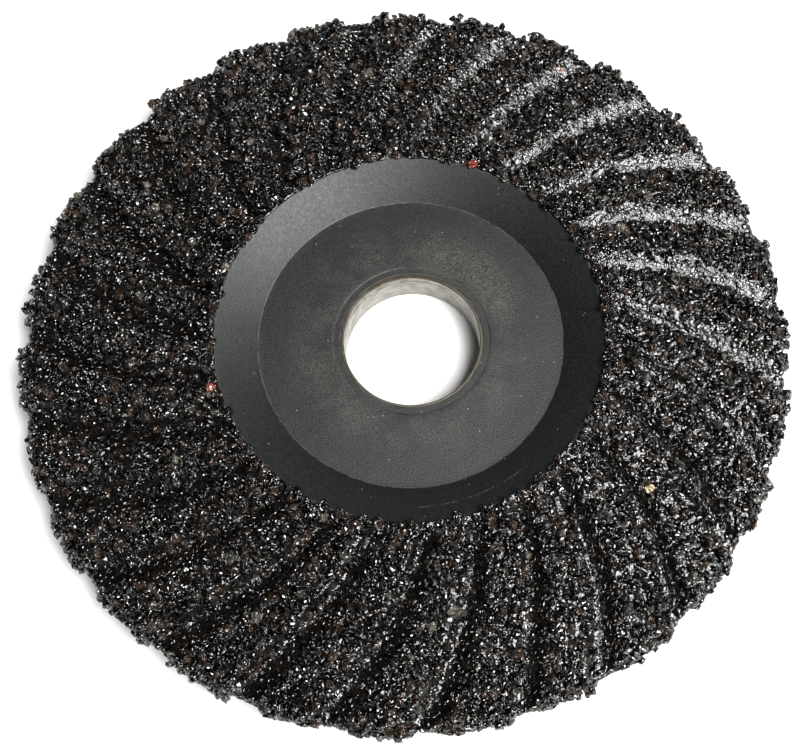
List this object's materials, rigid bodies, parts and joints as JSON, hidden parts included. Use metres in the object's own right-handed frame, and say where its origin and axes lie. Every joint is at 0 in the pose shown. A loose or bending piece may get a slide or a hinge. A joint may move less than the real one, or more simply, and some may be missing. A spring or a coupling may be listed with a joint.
{
  "type": "angle grinder carving disc",
  "caption": "Abrasive shaping disc for an angle grinder: a dished moulded backing with a steel-lined centre bore and a ring of swirled ribs covered in coarse black grit.",
  "frame": {"origin": "centre of the bore at the hub's back face", "axes": "+Z along the bore to the abrasive side; +X is a radius, and the ribs' swirl is measured from it"},
  "size_m": [0.125, 0.1249, 0.0126],
  "materials": {
    "ring_steel": "satin pressed steel, stained at the lip",
    "phenolic": "moulded, fine matt",
    "glass_cloth": "cured woven glass cloth",
    "resin": "glossy cured resin",
    "grit": "coarse glossy broken grains"
  },
  "bodies": {
    "root": {"bore_ring": "ring_steel", "back_moulding": "phenolic", "back_glass_cloth": "glass_cloth", "core_moulding": "phenolic", "front_glass_cloth": "glass_cloth", "front_moulding": "phenolic", "bond_coat": "resin", "grains_rib_01": "grit", "grains_rib_02": "grit", "grains_rib_03": "grit", "grains_rib_04": "grit", "grains_rib_05": "grit", "grains_rib_06": "grit", "grains_rib_07": "grit", "grains_rib_08": "grit", "grains_rib_09": "grit", "grains_rib_10": "grit", "grains_rib_11": "grit", "grains_rib_12": "grit", "grains_rib_13": "grit", "grains_rib_14": "grit", "grains_rib_15": "grit", "grains_rib_16": "grit", "grains_rib_17": "grit", "grains_rib_18": "grit", "grains_rib_19": "grit", "grains_rib_20": "grit", "grains_rib_21": "grit", "grains_rib_22": "grit", "grains_rib_23": "grit", "grains_rib_24": "grit", "grains_rib_25": "grit", "grains_rib_26": "grit", "grains_rib_27": "grit"}
  },
  "joints": []
}
